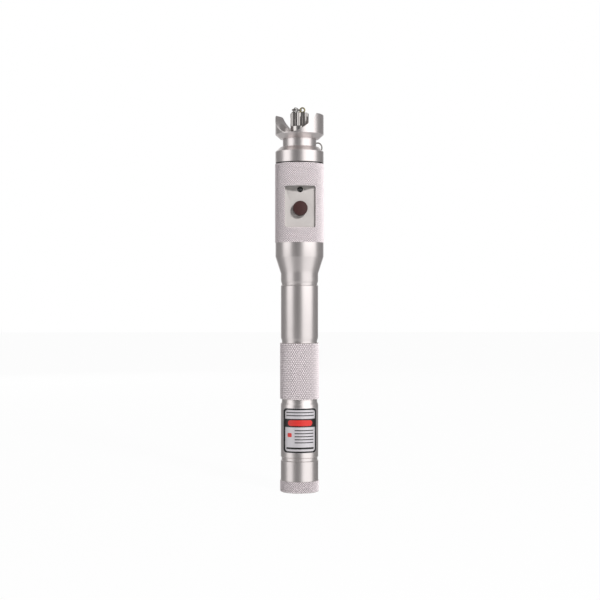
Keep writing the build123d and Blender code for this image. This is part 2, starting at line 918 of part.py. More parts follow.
def tether_chain():
    """Links along a hand-laid route, over the cap, out of the saddle and down behind the neck."""
    start, start_way, start_normal = first_link_frame()
    end, end_way, end_normal = last_link_frame()
    half = link_pitch / 2
    route = [
        start + start_way * half,
        on_route(-2.1, 0.6, 2.0, dust_cap_top),
        on_route(-2.8, 2.6, 2.0, dust_cap_top),
        on_route(-2.8, 4.9, 0.6, dust_cap_top),
        on_route(-2.1, 6.4, -2.4, dust_cap_top),
        on_route(-0.3, 7.3, 5.2, cup_floor),
        on_route(2.2, 8.5, 3.0, cup_floor),
        on_route(4.5, 10.4, 2.2, cup_floor),
        on_route(6.0, 12.7, 1.4, cup_floor),
        on_route(6.7, 14.2, -0.5, cup_floor),
        on_route(7.0, 14.2, 3.4, shoulder_top),
        on_route(7.2, 12.6, 1.8, shoulder_top),
        on_route(7.4, 10.3, 1.4, shoulder_top),
        end - end_way * half,
    ]
    path = Spline(*route)
    count = round(path.length / link_pitch)
    joints = [start - start_way * half, *(path @ (k / count) for k in range(count + 1)), end + end_way * half]
    frames = []
    normal = start_normal
    for near, far in zip(joints, joints[1:]):
        way = (far - near).normalized()
        normal = (normal - way * normal.dot(way)).normalized()
        frames.append(((near + far) / 2, way, normal))
    way, carried = frames[-1][1:]
    turned_by = math.degrees(math.atan2(carried.cross(end_normal).dot(way), carried.dot(end_normal)))
    last = len(frames) - 1
    twist = (turned_by - 90 * last + 90) % 180 - 90
    links = []
    for k, (centre, way, normal) in enumerate(frames):
        plane = Plane(origin=centre, x_dir=way, z_dir=normal)
        links.append(plane * (Rot(90 * k + twist * k / last, 0, 0) * link()))
    return Compound(children=links)


def tether_ring():
    return ring_plane() * Torus(ring_radius, ring_wire)


def wrap(width, height, corner, middle, inner, outer):
    """A rounded patch that follows the tube's front."""
    front = panel(width, height, corner, middle, -outer - 1, 0)
    return tube(outer, inner, middle - height, middle + height) & front


def label_sheet():
    middle = (label_bottom + label_top) / 2
    outer = label_zone_radius + label_thickness
    return wrap(label_width, label_height, label_corner, middle, label_zone_radius, outer)


def print_field(width, height, corner, middle, aside=0):
    """A printed field on top of the label, aside from its middle line where that is asked for."""
    inner = label_zone_radius + label_thickness
    outer = inner + print_thickness
    front = Pos(aside, 0, 0) * panel(width, height, corner, middle, -outer - 1, 0)
    return tube(outer, inner, middle - height, middle + height) & front


def rule(width, height, middle, aside=0):
    """A printed rule with round ends."""
    return print_field(width, height, 0.45 * height, middle, aside)


def band_middle():
    return label_top - band_below_top - band_height / 2


def label_print():
    """The label's border, band and rules."""
    middle = (label_bottom + label_top) / 2
    width = label_width - 2 * border_inset
    height = label_height - 2 * border_inset
    inner_corner = label_corner - border_width / 2
    frame = print_field(width, height, label_corner - border_inset, middle)
    frame -= print_field(width - 2 * border_width, height - 2 * border_width, inner_corner, middle)
    band = block(
        (-label_width, label_width),
        (-2 * label_zone_radius, 0),
        (band_middle() - band_height / 2, band_middle() + band_height / 2),
    )
    field = print_field(width - border_width, height - border_width, inner_corner, middle) & band
    inks = list((frame + field - rule(bar_width, bar_height, band_middle())).solids())
    title = label_top - title_below_top
    rules = [rule(title_width, rule_height, title - k * rule_pitch) for k in range(2)]
    first = band_middle() - band_height / 2 - rule_below_band
    rules += [rule(rule_width, rule_height, first - k * rule_pitch, rule_aside) for k in range(rule_count)]
    rules.append(rule(title_width, foot_rule_height, label_bottom + foot_rule_above_edge))
    for each in rules:
        inks.extend(each.solids())
    return Compound(children=inks)


def label_bar():
    """The label's red bar, and a red block beside the rules."""
    height = band_middle() - band_height / 2 - block_below_band
    corner_block = print_field(block_side, block_side, block_side / 5, height, block_aside)
    return Compound(children=[*rule(bar_width, bar_height, band_middle()).solids(), *corner_block.solids()])


PIECES = {
    "tail_cap": tail_cap,
    "tail_seal": tail_seal,
    "tail_contact": tail_contact,
    "tail_spring": tail_spring,
    "battery_rear": lambda: cell(cells_bottom),
    "battery_front": lambda: cell(cells_bottom + cell_length),
    "battery_tube": battery_tube,
    "label_sheet": label_sheet,
    "label_print": label_print,
    "label_bar": label_bar,
    "contact_insulator": contact_insulator,
    "positive_contact": positive_contact,
    "battery_lead": battery_lead,
    "head_barrel": head_barrel,
    "module_carrier": module_carrier,
    "circuit_board": circuit_board,
    "board_screws": board_screws,
    "driver_chip": driver_chip,
    "circuit_parts": circuit_parts,
    "tact_switch": tact_switch,
    "switch_dome": switch_dome,
    "switch_plunger": switch_plunger,
    "power_button": power_button,
    "switch_plate": switch_plate,
    "indicator_led": indicator_led,
    "laser_leads": laser_leads,
    "laser_housing": laser_housing,
    "diode_holder": diode_holder,
    "laser_diode": laser_diode,
    "lens_ring": lens_ring,
    "focusing_lens": focusing_lens,
    "head_o_ring": head_o_ring,
    "guard_head": guard_head,
    "adapter_lock_nut": adapter_lock_nut,
    "adapter_barrel": adapter_barrel,
    "ceramic_sleeve": ceramic_sleeve,
    "dust_cap": dust_cap,
    "cap_liner": cap_liner,
    "cap_swivel": cap_swivel,
    "tether_chain": tether_chain,
    "tether_ring": tether_ring,
}

os.makedirs("parts", exist_ok=True)
for name, make in PIECES.items():
    export_step(make(), f"parts/{name}.step")
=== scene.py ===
"""Dresses the pen-type visual fault locator: knurls, threads, tether, finishes, studio and camera.

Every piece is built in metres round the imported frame, and nothing else is read from disk.
"""

import json
import math

import bmesh
import bpy
from bpy.props import FloatProperty, FloatVectorProperty, IntProperty, PointerProperty
from mathutils import Matrix, Vector


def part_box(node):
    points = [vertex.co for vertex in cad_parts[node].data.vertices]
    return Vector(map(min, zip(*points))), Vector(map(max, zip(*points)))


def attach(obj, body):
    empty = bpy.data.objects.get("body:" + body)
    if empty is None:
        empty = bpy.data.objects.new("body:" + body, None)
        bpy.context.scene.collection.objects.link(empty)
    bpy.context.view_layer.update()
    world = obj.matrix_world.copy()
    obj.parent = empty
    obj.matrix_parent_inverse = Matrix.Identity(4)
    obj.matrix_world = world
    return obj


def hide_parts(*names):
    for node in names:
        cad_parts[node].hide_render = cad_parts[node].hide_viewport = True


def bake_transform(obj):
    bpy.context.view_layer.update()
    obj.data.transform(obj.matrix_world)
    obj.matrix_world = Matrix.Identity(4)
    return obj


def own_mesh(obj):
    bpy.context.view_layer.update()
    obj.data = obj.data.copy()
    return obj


bl_info = {
    "name": "Visual Fault Locator",
    "version": (1, 0, 0),
    "blender": (4, 5, 0),
    "location": "View3D > Sidebar > Fault Locator",
    "description": "Builds the knurled shells, tether, finishes and studio of a pen-type fault locator",
    "category": "Object",
}

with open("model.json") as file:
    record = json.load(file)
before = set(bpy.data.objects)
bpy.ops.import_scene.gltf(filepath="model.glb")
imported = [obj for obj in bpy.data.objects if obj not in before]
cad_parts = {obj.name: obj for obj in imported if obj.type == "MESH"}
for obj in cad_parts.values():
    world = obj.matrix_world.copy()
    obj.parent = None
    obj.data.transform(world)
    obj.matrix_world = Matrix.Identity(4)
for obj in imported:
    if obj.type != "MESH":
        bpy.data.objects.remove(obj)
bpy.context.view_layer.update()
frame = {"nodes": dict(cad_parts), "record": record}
NODES = frame["nodes"]
BODY_OF = {n: body for body, names in frame["record"]["behaviour"]["bodies"].items() for n in names}
SLOT_OF = {part["node"]: part["material_slot"] for part in frame["record"]["subparts"]}

MM = 0.001
WELD = 2e-6  # metres; points closer than this are one corner
ON_PLANE = 1e-9  # metres; corners this close to a cutting plane lie on it
STRAIGHT = 1e-4  # the sine of the least bend that makes a corner
SHARP = math.radians(28)  # faces that meet at more than this keep an edge
WIRE_SHARP = math.radians(50)  # the same on chain links and springs

QUARTERS = 4  # rows and columns of corners in one diamond of the knurl
THREAD_ROWS = 8  # rows of corners in one turn of a thread
THREAD_FADE = 4  # rows over which a thread runs out
PORT_COLUMNS = 96  # corners round the port

SEAM_MARGIN = 0.02 * MM  # the slot's painted shade reaches this far past its two edges
SEAM_HEIGHT = 0.5 * MM
SEAM_WALL = 0.33 * MM  # from the knurl's crests in to where the slot's painted shade starts
WINDOW_WALL = 0.55 * MM  # the same for the painted shade on the walls of the window
RIDGE_CREST = 0.1 * MM  # from the dust cap's radius in to where painted shade starts to darken its ridges
RIDGE_SHADE_DEPTH = 0.3 * MM  # and to where the painted shade in the hollows between the ridges is full

TURNED_GRAIN = 9000.0
TURNED_ROUGHNESS = 0.28
TURNED_SPREAD = 0.10  # added on the crests of the turning lines
KNURL_ROUGHNESS = 0.22  # added on the knurl
KNURL_METALLIC = 0.12  # the knurl scatters light and hardly mirrors
GROOVE_SHADE_START = 0.4  # share of a groove's depth from which its painted shade sets in
# painted shade in the slot between the head's barrel and its shoulder
SEAM_SHADE_COLOUR = (0.03, 0.026, 0.028)
# painted shade on the walls of the head's window
WINDOW_SHADE_COLOUR = (0.20, 0.185, 0.185)
CLOUD_SCALE = 180.0  # of the slight change of a metal's colour from place to place
METAL_SPREAD = 0.05  # of roughness, to each side
PEBBLE_SPREAD = 0.06

SENSOR = 36
TABLE_HALF = 3.0
TABLE_GREY = 0.6
TABLE_GLOW = 0.97  # how much of the table's white is its own, so that its shadow stays soft
TENT_RADIUS = 2.5
TENT_WALL = 0.27  # how bright the tent is beside its windows
TENT_LEAST = 0.02  # and the least that it may be
FLOOR_FADE = (-11, 10)  # degrees of rise over which a window gains its full light
FLOOR_SHARE = 0.62  # and the share of it that a window has below them
SOFT_WINDOWS = (  # in degrees, from the front to the right; a level below 0 darkens
    dict(middle=-65, half_width=21, edge=6, low=-62, high=48, low_edge=50, level=1.10),
    dict(middle=48, half_width=35, edge=8, low=-62, high=62, low_edge=50, level=1.30),
    dict(middle=-15, half_width=12, edge=10, low=-60, high=60, low_edge=10, level=-0.10),
    dict(middle=180, half_width=26, edge=20, low=-50, high=60, low_edge=20, level=0.6),
    dict(middle=-180, half_width=26, edge=20, low=-50, high=60, low_edge=20, level=0.6),
    dict(middle=0, half_width=200, edge=2, low=-130, high=-22, low_edge=20, level=0.32),
)
LAMPS = (  # name, place, side, watts
    ("key", (0.32, -0.61, 0.52), 0.10, 7.1),
    ("left_fill", (-0.75, -0.35, 0.10), 0.5, 1.2),
    ("back_fill", (-0.3, 0.9, 0.4), 0.6, 4.0),
)
LAMP_AIM = Vector((0, 0, 0.1))


class KnurlSettings(bpy.types.PropertyGroup):
    """Sizes of the diamond knurls and the fine threads."""

    grip_teeth: IntProperty(
        name="Grip teeth", description="Diamonds round the tube's grip", default=65, min=12
    )
    grip_pitch: FloatProperty(
        name="Grip pitch", description="Height of one diamond on the grip", default=1.87 * MM, unit="LENGTH"
    )
    head_teeth: IntProperty(name="Head teeth", description="Diamonds round the head", default=77, min=12)
    head_pitch: FloatProperty(
        name="Head pitch", description="Height of one diamond on the head", default=1.13 * MM, unit="LENGTH"
    )
    cap_teeth: IntProperty(name="Cap teeth", description="Diamonds round the tail cap", default=63, min=12)
    cap_pitch: FloatProperty(
        name="Cap pitch", description="Height of one diamond on the tail cap", default=1.1 * MM, unit="LENGTH"
    )
    depth: FloatProperty(
        name="Knurl depth", description="From a diamond's crest down to the groove",
        default=0.36 * MM, unit="LENGTH",
    )
    crest: FloatProperty(
        name="Crest width", description="How fast a diamond rises to its flat crest", default=1.2, min=1.0
    )
    thread_pitch: FloatProperty(
        name="Thread pitch", description="Pitch of the tube's threads", default=0.75 * MM, unit="LENGTH"
    )
    thread_depth: FloatProperty(
        name="Thread depth", description="Depth of the threads", default=0.3 * MM, unit="LENGTH"
    )


def colour_setting(name, description, default):
    """A colour of the finishes, with its name, description and default."""
    return FloatVectorProperty(
        name=name, description=description, default=default, subtype="COLOR", size=3
    )


class FinishSettings(bpy.types.PropertyGroup):
    """Colours and gloss of the finishes."""

    aluminium: colour_setting("Aluminium", "Satin anodised shells", (0.80, 0.745, 0.735))
    knurl_crest: colour_setting("Knurl crest", "Rubbed tops of the knurl", (0.88, 0.805, 0.825))
    # painted shade: the colour of the knurl's groove bottoms, where shade falls between the diamonds
    knurl_groove_shade: colour_setting("Knurl groove", "Dull bottoms of the knurl", (0.13, 0.108, 0.116))
    plate: colour_setting("Plate", "Blasted switch plate", (0.44, 0.412, 0.40))
    nickel: colour_setting("Nickel", "Plated port and cap", (0.60, 0.57, 0.55))
    # painted shade: a darker copy of the nickel for the tether and ring
    dark_nickel: colour_setting("Dark nickel", "Dulled tether and ring", (0.34, 0.32, 0.30))
    aged_brass: colour_setting("Aged brass", "Browned swivel", (0.42, 0.36, 0.19))
    brass: colour_setting("Brass", "Turned brass", (0.74, 0.58, 0.33))
    button: colour_setting("Button", "Dark red brown button", (0.036, 0.0115, 0.011))
    label_foil: colour_setting("Label foil", "Silver label", (0.60, 0.575, 0.60))
    label_red: colour_setting("Label red", "Printed red", (0.60, 0.03, 0.025))


class StudioSettings(bpy.types.PropertyGroup):
    """Camera and light levels."""

    distance: FloatProperty(name="Distance", description="Camera to the axis", default=0.645, unit="LENGTH")
    height: FloatProperty(name="Height", description="Camera above the table", default=0.0965, unit="LENGTH")
    aside: FloatProperty(name="Aside", description="Camera beside the axis", default=0.00025, unit="LENGTH")
    bearing: FloatProperty(
        name="Bearing", description="Camera's turn to the left of the front",
        default=math.radians(2.3), subtype="ANGLE",
    )
    tilt: FloatProperty(
        name="Tilt", description="Camera's tilt down", default=math.radians(0.089), subtype="ANGLE"
    )
    lens: FloatProperty(name="Lens", description="Focal length in millimetres", default=77.4, min=10)
    ambient: FloatProperty(name="Ambient", description="Light from all round", default=0.24, min=0)


def settings(name):
    """One group of the scene's sizes and colours."""
    return getattr(bpy.context.scene, name)


# Meshes


def link_object(name, mesh):
    """A new object at the origin that shows the mesh."""
    piece = bpy.data.objects.new(name, mesh)
    bpy.context.scene.collection.objects.link(piece)
    return piece


def shade(mesh, angle=SHARP):
    """Smooth faces with sharp edges above the angle."""
    mesh.shade_smooth()
    mesh.set_sharp_from_angle(angle=angle)


def merged_copy(node, name):
    """A watertight copy of a CAD node, as a mesh of its own."""
    work = bmesh.new()
    work.from_mesh(NODES[node].data)
    bmesh.ops.remove_doubles(work, verts=work.verts, dist=WELD / 4)
    mesh = bpy.data.meshes.new(name)
    work.to_mesh(mesh)
    work.free()
    return mesh


def section_of(node):
    """The (radius, height) corners of a turned node's closed outline, read behind the axis."""
    work = bmesh.new()
    work.from_mesh(NODES[node].data)
    bmesh.ops.remove_doubles(work, verts=work.verts, dist=WELD / 4)
    everything = work.verts[:] + work.edges[:] + work.faces[:]
    cut = bmesh.ops.bisect_plane(work, geom=everything, dist=ON_PLANE, plane_co=(0, 0, 0), plane_no=(1, 0, 0))
    edges = [e for e in cut["geom_cut"] if isinstance(e, bmesh.types.BMEdge)]
    edges = [e for e in edges if any(v.co.y > WELD for v in e.verts) and all(v.co.y > -WELD for v in e.verts)]
    neighbours = {}
    for edge in edges:
        a, b = edge.verts
        neighbours.setdefault(a, []).append(b)
        neighbours.setdefault(b, []).append(a)
    ends = [v for v, near in neighbours.items() if len(near) == 1]
    start = ends[0] if ends else next(iter(neighbours))
    loop, last, here = [start], None, start
    while True:
        onward = [v for v in neighbours[here] if v is not last]
        if not onward or onward[0] is start:
            break
        last, here = here, onward[0]
        loop.append(here)
    corners = [Vector((v.co.y, v.co.z)) for v in loop]
    work.free()
    if not ends:
        corners.append(corners[0].copy())
    return simplified(corners)


def simplified(corners):
    """The outline without the points that lie on a straight run."""
    kept = [corners[0]]
    for here, onward in zip(corners[1:], corners[2:]):
        before = here - kept[-1]
        after = onward - here
        if before.length < WELD:
            continue
        if abs(before.normalized().cross(after.normalized())) > STRAIGHT:
            kept.append(here)
    kept.append(corners[-1])
    return kept


# Geometry Nodes


def node(tree, kind, **values):
    """A new node with its plain values set."""
    made = tree.nodes.new(kind)
    for key, value in values.items():
        setattr(made, key, value)
    return made


def wire(tree, source, target):
    """Links an output to an input."""
    tree.links.new(source, target)


def math_node(tree, operation, first, second=None):
    """A Math node's output; each operand is a socket or a number."""
    made = node(tree, "ShaderNodeMath", operation=operation)
    for slot, operand in zip(made.inputs, (first, second)):
        if isinstance(operand, bpy.types.NodeSocket):
            wire(tree, operand, slot)
        elif operand is not None:
            slot.default_value = operand
    return made.outputs[0]


def add_input(tree, name, kind, default=None):
    """A named input of a Geometry Nodes tree."""
    socket = tree.interface.new_socket(name=name, in_out="INPUT", socket_type=kind)
    if default is not None:
        socket.default_value = default
    return socket.identifier


def turned_tree():
    """Spins an outline about Z, with diamond knurls and threads where its points ask for them.

    The outline is a line of points, (radius, 0, height), with the attributes knurl, thread and step.
    step counts quarters of a diamond along the axis. Four columns make one diamond round the axis.
    """
    tree = bpy.data.node_groups.new("turned_shell", "GeometryNodeTree")
    names = {
        "outline": add_input(tree, "Outline", "NodeSocketGeometry"),
        "columns": add_input(tree, "Columns", "NodeSocketInt", 260),
        "rows": add_input(tree, "Rows", "NodeSocketInt", 2),
        "depth": add_input(tree, "Knurl Depth", "NodeSocketFloat", 0.0),
        "crest": add_input(tree, "Crest", "NodeSocketFloat", 1.2),
        "thread_pitch": add_input(tree, "Thread Pitch", "NodeSocketFloat", 0.001),
        "thread_depth": add_input(tree, "Thread Depth", "NodeSocketFloat", 0.0),
        "finish": add_input(tree, "Finish", "NodeSocketMaterial"),
    }
    tree.interface.new_socket(name="Shell", in_out="OUTPUT", socket_type="NodeSocketGeometry")
    given = node(tree, "NodeGroupInput")
    value = {key: given.outputs[i] for i, key in enumerate(names)}

    grid = node(tree, "GeometryNodeMeshGrid")
    wire(tree, math_node(tree, "ADD", value["columns"], 1), grid.inputs["Vertices X"])
    wire(tree, value["rows"], grid.inputs["Vertices Y"])
    index = node(tree, "GeometryNodeInputIndex").outputs[0]
    column = math_node(tree, "FLOOR", math_node(tree, "DIVIDE", index, value["rows"]))
    row = math_node(tree, "MODULO", index, value["rows"])

    def sampled(data_type, field):
        picker = node(tree, "GeometryNodeSampleIndex", data_type=data_type, domain="POINT")
        wire(tree, value["outline"], picker.inputs["Geometry"])
        wire(tree, row, picker.inputs["Index"])
        wire(tree, field, picker.inputs["Value"])
        return picker.outputs[0]

    def named(attribute):
        reader = node(tree, "GeometryNodeInputNamedAttribute", data_type="FLOAT")
        reader.inputs["Name"].default_value = attribute
        return sampled("FLOAT", reader.outputs["Attribute"])

    place = node(tree, "ShaderNodeSeparateXYZ")
    wire(tree, sampled("FLOAT_VECTOR", node(tree, "GeometryNodeInputPosition").outputs[0]), place.inputs[0])
    radius, height = place.outputs["X"], place.outputs["Z"]

    across = math_node(tree, "PINGPONG", math_node(tree, "DIVIDE", column, QUARTERS), 0.5)
    along = math_node(tree, "PINGPONG", math_node(tree, "DIVIDE", named("step"), QUARTERS), 0.5)
    from_crest = math_node(tree, "MULTIPLY", math_node(tree, "ADD", across, along), 2.0)
    from_crest = math_node(tree, "PINGPONG", from_crest, 1.0)
    rise = math_node(tree, "MULTIPLY", math_node(tree, "SUBTRACT", 1.0, from_crest), value["crest"])
    fall = math_node(tree, "SUBTRACT", 1.0, math_node(tree, "MINIMUM", rise, 1.0))
    knurl = math_node(tree, "MULTIPLY", math_node(tree, "MULTIPLY", fall, value["depth"]), named("knurl"))

    share = math_node(tree, "DIVIDE", column, value["columns"])
    turns = math_node(tree, "SUBTRACT", math_node(tree, "DIVIDE", height, value["thread_pitch"]), share)
    groove = math_node(tree, "MULTIPLY", math_node(tree, "PINGPONG", turns, 0.5), 2.0)
    thread = math_node(tree, "MULTIPLY", groove, value["thread_depth"])
    thread = math_node(tree, "MULTIPLY", thread, named("thread"))

    reach = math_node(tree, "SUBTRACT", math_node(tree, "SUBTRACT", radius, knurl), thread)
    turn = math_node(tree, "MULTIPLY", share, 2 * math.pi)
    spot = node(tree, "ShaderNodeCombineXYZ")
    wire(tree, math_node(tree, "MULTIPLY", reach, math_node(tree, "COSINE", turn)), spot.inputs["X"])
    wire(tree, math_node(tree, "MULTIPLY", reach, math_node(tree, "SINE", turn)), spot.inputs["Y"])
    wire(tree, height, spot.inputs["Z"])

    mark = node(tree, "GeometryNodeStoreNamedAttribute", data_type="FLOAT", domain="POINT")
    mark.inputs["Name"].default_value = "groove"
    wire(tree, grid.outputs["Mesh"], mark.inputs["Geometry"])
    wire(tree, math_node(tree, "MULTIPLY", fall, named("knurl")), mark.inputs["Value"])
    flag = node(tree, "GeometryNodeStoreNamedAttribute", data_type="FLOAT", domain="POINT")
    flag.inputs["Name"].default_value = "knurled"
    wire(tree, mark.outputs[0], flag.inputs["Geometry"])
    wire(tree, named("knurl"), flag.inputs["Value"])
    put = node(tree, "GeometryNodeSetPosition")
    wire(tree, flag.outputs[0], put.inputs["Geometry"])
    wire(tree, spot.outputs[0], put.inputs["Position"])
    weld = node(tree, "GeometryNodeMergeByDistance")
    weld.inputs["Distance"].default_value = WELD
    wire(tree, put.outputs[0], weld.inputs["Geometry"])
    split = node(tree, "GeometryNodeTriangulate", quad_method="SHORTEST_DIAGONAL")
    wire(tree, weld.outputs[0], split.inputs["Mesh"])
    plain = node(tree, "GeometryNodeRealizeInstances")
    wire(tree, split.outputs[0], plain.inputs[0])
    dressed = node(tree, "GeometryNodeSetMaterial")
    wire(tree, plain.outputs[0], dressed.inputs["Geometry"])
    wire(tree, value["finish"], dressed.inputs["Material"])
    shown = node(tree, "NodeGroupOutput")
    wire(tree, dressed.outputs[0], shown.inputs[0])
    return tree, names


def baked(piece, tree, inputs):
    """Runs a Geometry Nodes tree on an object once and keeps its plain mesh."""
    modifier = piece.modifiers.new("build", "NODES")
    modifier.node_group = tree
    for identifier, value in inputs.items():
        modifier[identifier] = value
    keep_result(piece, modifier)
    return piece


def keep_result(piece, modifier):
    """Makes what a modifier shows the piece's own plain mesh, and removes the modifier."""
    bpy.context.view_layer.update()
    depsgraph = bpy.context.evaluated_depsgraph_get()
    mesh = bpy.data.meshes.new_from_object(piece.evaluated_get(depsgraph))
    piece.modifiers.remove(modifier)
    old = piece.data
    piece.data = mesh
    mesh.name = piece.name
    bpy.data.meshes.remove(old)


def run_rows(start, end, step):
    """Evenly spaced points along a straight run of the outline, both ends included."""
    count = max(2, round((end - start).length / step))
    return [start.lerp(end, k / count) for k in range(count + 1)]


def outline_mesh(name, corners, knurl_run=None, knurl_step=None, thread_run=None, thread_step=None):
    """The outline as a line of points; a run is the index of its first corner."""
    rows = []
    for k, (here, onward) in enumerate(zip(corners, corners[1:])):
        if k == knurl_run:
            points = run_rows(here, onward, knurl_step)
            rows += [(p, 1.0, 0.0, float(j)) for j, p in enumerate(points)]
        elif k == thread_run:
            points = run_rows(here, onward, thread_step)
            last = len(points) - 1
            fades = [min(1.0, j / THREAD_FADE, (last - j) / THREAD_FADE) for j in range(last + 1)]
            rows += [(p, 0.0, fade, 0.0) for p, fade in zip(points, fades)]
        elif not rows or (rows[-1][0] - here).length > WELD:
            rows.append((here, 0.0, 0.0, 0.0))
    if (rows[-1][0] - corners[-1]).length > WELD:
        rows.append((corners[-1], 0.0, 0.0, 0.0))
    mesh = bpy.data.meshes.new(name)
    mesh.from_pydata([(p.x, 0, p.y) for p, *_ in rows], [(k, k + 1) for k in range(len(rows) - 1)], [])
    for which, attribute in ((1, "knurl"), (2, "thread"), (3, "step")):
        layer = mesh.attributes.new(attribute, "FLOAT", "POINT")
        layer.data.foreach_set("value", [row[which] for row in rows])
    return mesh, len(rows)


def widest_run(corners):
    """The index of the longest upright run at the outline's greatest radius."""
    crest = max(c.x for c in corners)
    runs = [
        (abs(b.y - a.y), k)
        for k, (a, b) in enumerate(zip(corners, corners[1:]))
        if min(a.x, b.x) > crest - WELD
    ]
    return max(runs)[1]


def run_at(corners, height):
    """The index of the outermost upright run that passes a height."""
    runs = [
        (a.x, k)
        for k, (a, b) in enumerate(zip(corners, corners[1:]))
        if abs(a.x - b.x) < WELD and min(a.y, b.y) < height < max(a.y, b.y)
    ]
    return max(runs)[1]


def copied_piece(name, cad_node, angle=SHARP):
    """A piece with a CAD node's own shape and finish."""
    piece = link_object(name, merged_copy(cad_node, name))
    piece.data.materials.append(finish_of(cad_node))
    shade(piece.data, angle)
    return piece


def turned_piece(name, cad_node, columns, pitch=None, thread_height=None):
    """A shell of revolution from a CAD node's own outline, knurled or threaded."""
    sizes = settings("knurls")
    tree, names = turned_tree()
    corners = section_of(cad_node)
    knurl_run = widest_run(corners) if pitch else None
    thread_run = run_at(corners, thread_height) if thread_height else None
    thread_step = sizes.thread_pitch / THREAD_ROWS
    mesh, rows = outline_mesh(name, corners, knurl_run, pitch and pitch / QUARTERS, thread_run, thread_step)
    inputs = {
        names["columns"]: columns,
        names["rows"]: rows,
        names["depth"]: sizes.depth,
        names["crest"]: sizes.crest,
        names["thread_pitch"]: sizes.thread_pitch,
        names["thread_depth"]: sizes.thread_depth if thread_height else 0.0,
        names["finish"]: finish_of(cad_node),
    }
    piece = baked(link_object(name, mesh), tree, inputs)
    facing_out(piece.data)
    shade(piece.data)
    return piece


def facing_out(mesh):
    """Turns every face outwards."""
    work = bmesh.new()
    work.from_mesh(mesh)
    bmesh.ops.recalc_face_normals(work, faces=work.faces)
    work.to_mesh(mesh)
    work.free()


def stand_for(piece, cad_node):
    """The piece takes a CAD node's place; the node is hidden."""
    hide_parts(cad_node)
    return piece


# Finishes


def shader(name, colour, metallic=0.0, roughness=0.4, **extra):
    """A material with its Principled shader; further inputs by name, spaces as underscores."""
    material = bpy.data.materials.new(f"{name}_finish")
    material.use_nodes = True
    tree = material.node_tree
    principled = tree.nodes["Principled BSDF"]
    principled.inputs["Base Color"].default_value = (*colour, 1)
    principled.inputs["Metallic"].default_value = metallic
    principled.inputs["Roughness"].default_value = roughness
    for key, value in extra.items():
        principled.inputs[key.replace("_", " ")].default_value = value
    return material, tree, principled


def noise(tree, scale, detail=2.0, stretch=(1, 1, 1)):
    """Noise on Object coordinates, stretched along the axes."""
    place = node(tree, "ShaderNodeTexCoord")
    mapping = node(tree, "ShaderNodeMapping")
    mapping.inputs["Scale"].default_value = stretch
    wire(tree, place.outputs["Object"], mapping.inputs["Vector"])
    made = node(tree, "ShaderNodeTexNoise")
    made.inputs["Scale"].default_value = scale
    made.inputs["Detail"].default_value = detail
    wire(tree, mapping.outputs[0], made.inputs["Vector"])
    return made.outputs["Fac"]


def object_parts(tree):
    """The three Object coordinates."""
    place = node(tree, "ShaderNodeTexCoord")
    parts = node(tree, "ShaderNodeSeparateXYZ")
    wire(tree, place.outputs["Object"], parts.inputs[0])
    return parts.outputs


def axis_radius(tree):
    """How far a point stands from the tool's axis."""
    parts = object_parts(tree)
    square_x = math_node(tree, "MULTIPLY", parts["X"], parts["X"])
    square_y = math_node(tree, "MULTIPLY", parts["Y"], parts["Y"])
    return math_node(tree, "SQRT", math_node(tree, "ADD", square_x, square_y))


def rings(tree, scale):
    """Fine turning lines round Z, on walls and on end faces."""
    line = math_node(tree, "ADD", object_parts(tree)["Z"], axis_radius(tree))
    made = node(tree, "ShaderNodeTexNoise", noise_dimensions="1D")
    made.inputs["Scale"].default_value = scale
    made.inputs["Detail"].default_value = 3.0
    wire(tree, line, made.inputs["W"])
    return made.outputs["Fac"]


def spread(tree, source, low, high, target):
    """Maps a 0 to 1 field onto an input between two values."""
    ranged = node(tree, "ShaderNodeMapRange")
    ranged.inputs["To Min"].default_value = low
    ranged.inputs["To Max"].default_value = high
    wire(tree, source, ranged.inputs["Value"])
    wire(tree, ranged.outputs[0], target)


def tone(tree, source, low, high):
    """A colour between two tones, by a 0 to 1 field."""
    mix = node(tree, "ShaderNodeMix", data_type="RGBA")
    mix.inputs["A"].default_value = (*low, 1)
    mix.inputs["B"].default_value = (*high, 1)
    wire(tree, source, mix.inputs["Factor"])
    return mix.outputs["Result"]


def covered(tree, base, mask, cover):
    """The base colour, with the cover's colour where the mask is 1."""
    mix = node(tree, "ShaderNodeMix", data_type="RGBA")
    wire(tree, mask, mix.inputs["Factor"])
    wire(tree, base, mix.inputs["A"])
    if isinstance(cover, bpy.types.NodeSocket):
        wire(tree, cover, mix.inputs["B"])
    else:
        mix.inputs["B"].default_value = (*cover, 1)
    return mix.outputs["Result"]


def tint(tree, source, low, high, principled):
    """Colour that varies between two tones with a field."""
    wire(tree, tone(tree, source, low, high), principled.inputs["Base Color"])


def bump(tree, source, strength, distance, principled):
    """Raises the surface a little with a field."""
    made = node(tree, "ShaderNodeBump")
    made.inputs["Strength"].default_value = strength
    made.inputs["Distance"].default_value = distance
    wire(tree, source, made.inputs["Height"])
    wire(tree, made.outputs[0], principled.inputs["Normal"])


def scaled(colour, factor):
    """A lighter or darker colour."""
    return tuple(min(1.0, c * factor) for c in colour)


def clouded(tree, colour):
    """The colour with its slight change from place to place."""
    return tone(tree, noise(tree, CLOUD_SCALE, 3.0), scaled(colour, 0.97), scaled(colour, 1.03))


def metal(name, colour, roughness, grain=5000.0, turned=False):
    """Metal with a fine grain or turning lines."""
    material, tree, principled = shader(name, colour, metallic=1.0, roughness=roughness)
    lines = rings(tree, grain) if turned else noise(tree, grain, 4.0)
    rough = principled.inputs["Roughness"]
    spread(tree, lines, roughness - METAL_SPREAD, roughness + METAL_SPREAD, rough)
    wire(tree, clouded(tree, colour), principled.inputs["Base Color"])
    bump(tree, lines, 0.25, 0.003 * MM, principled)
    return material


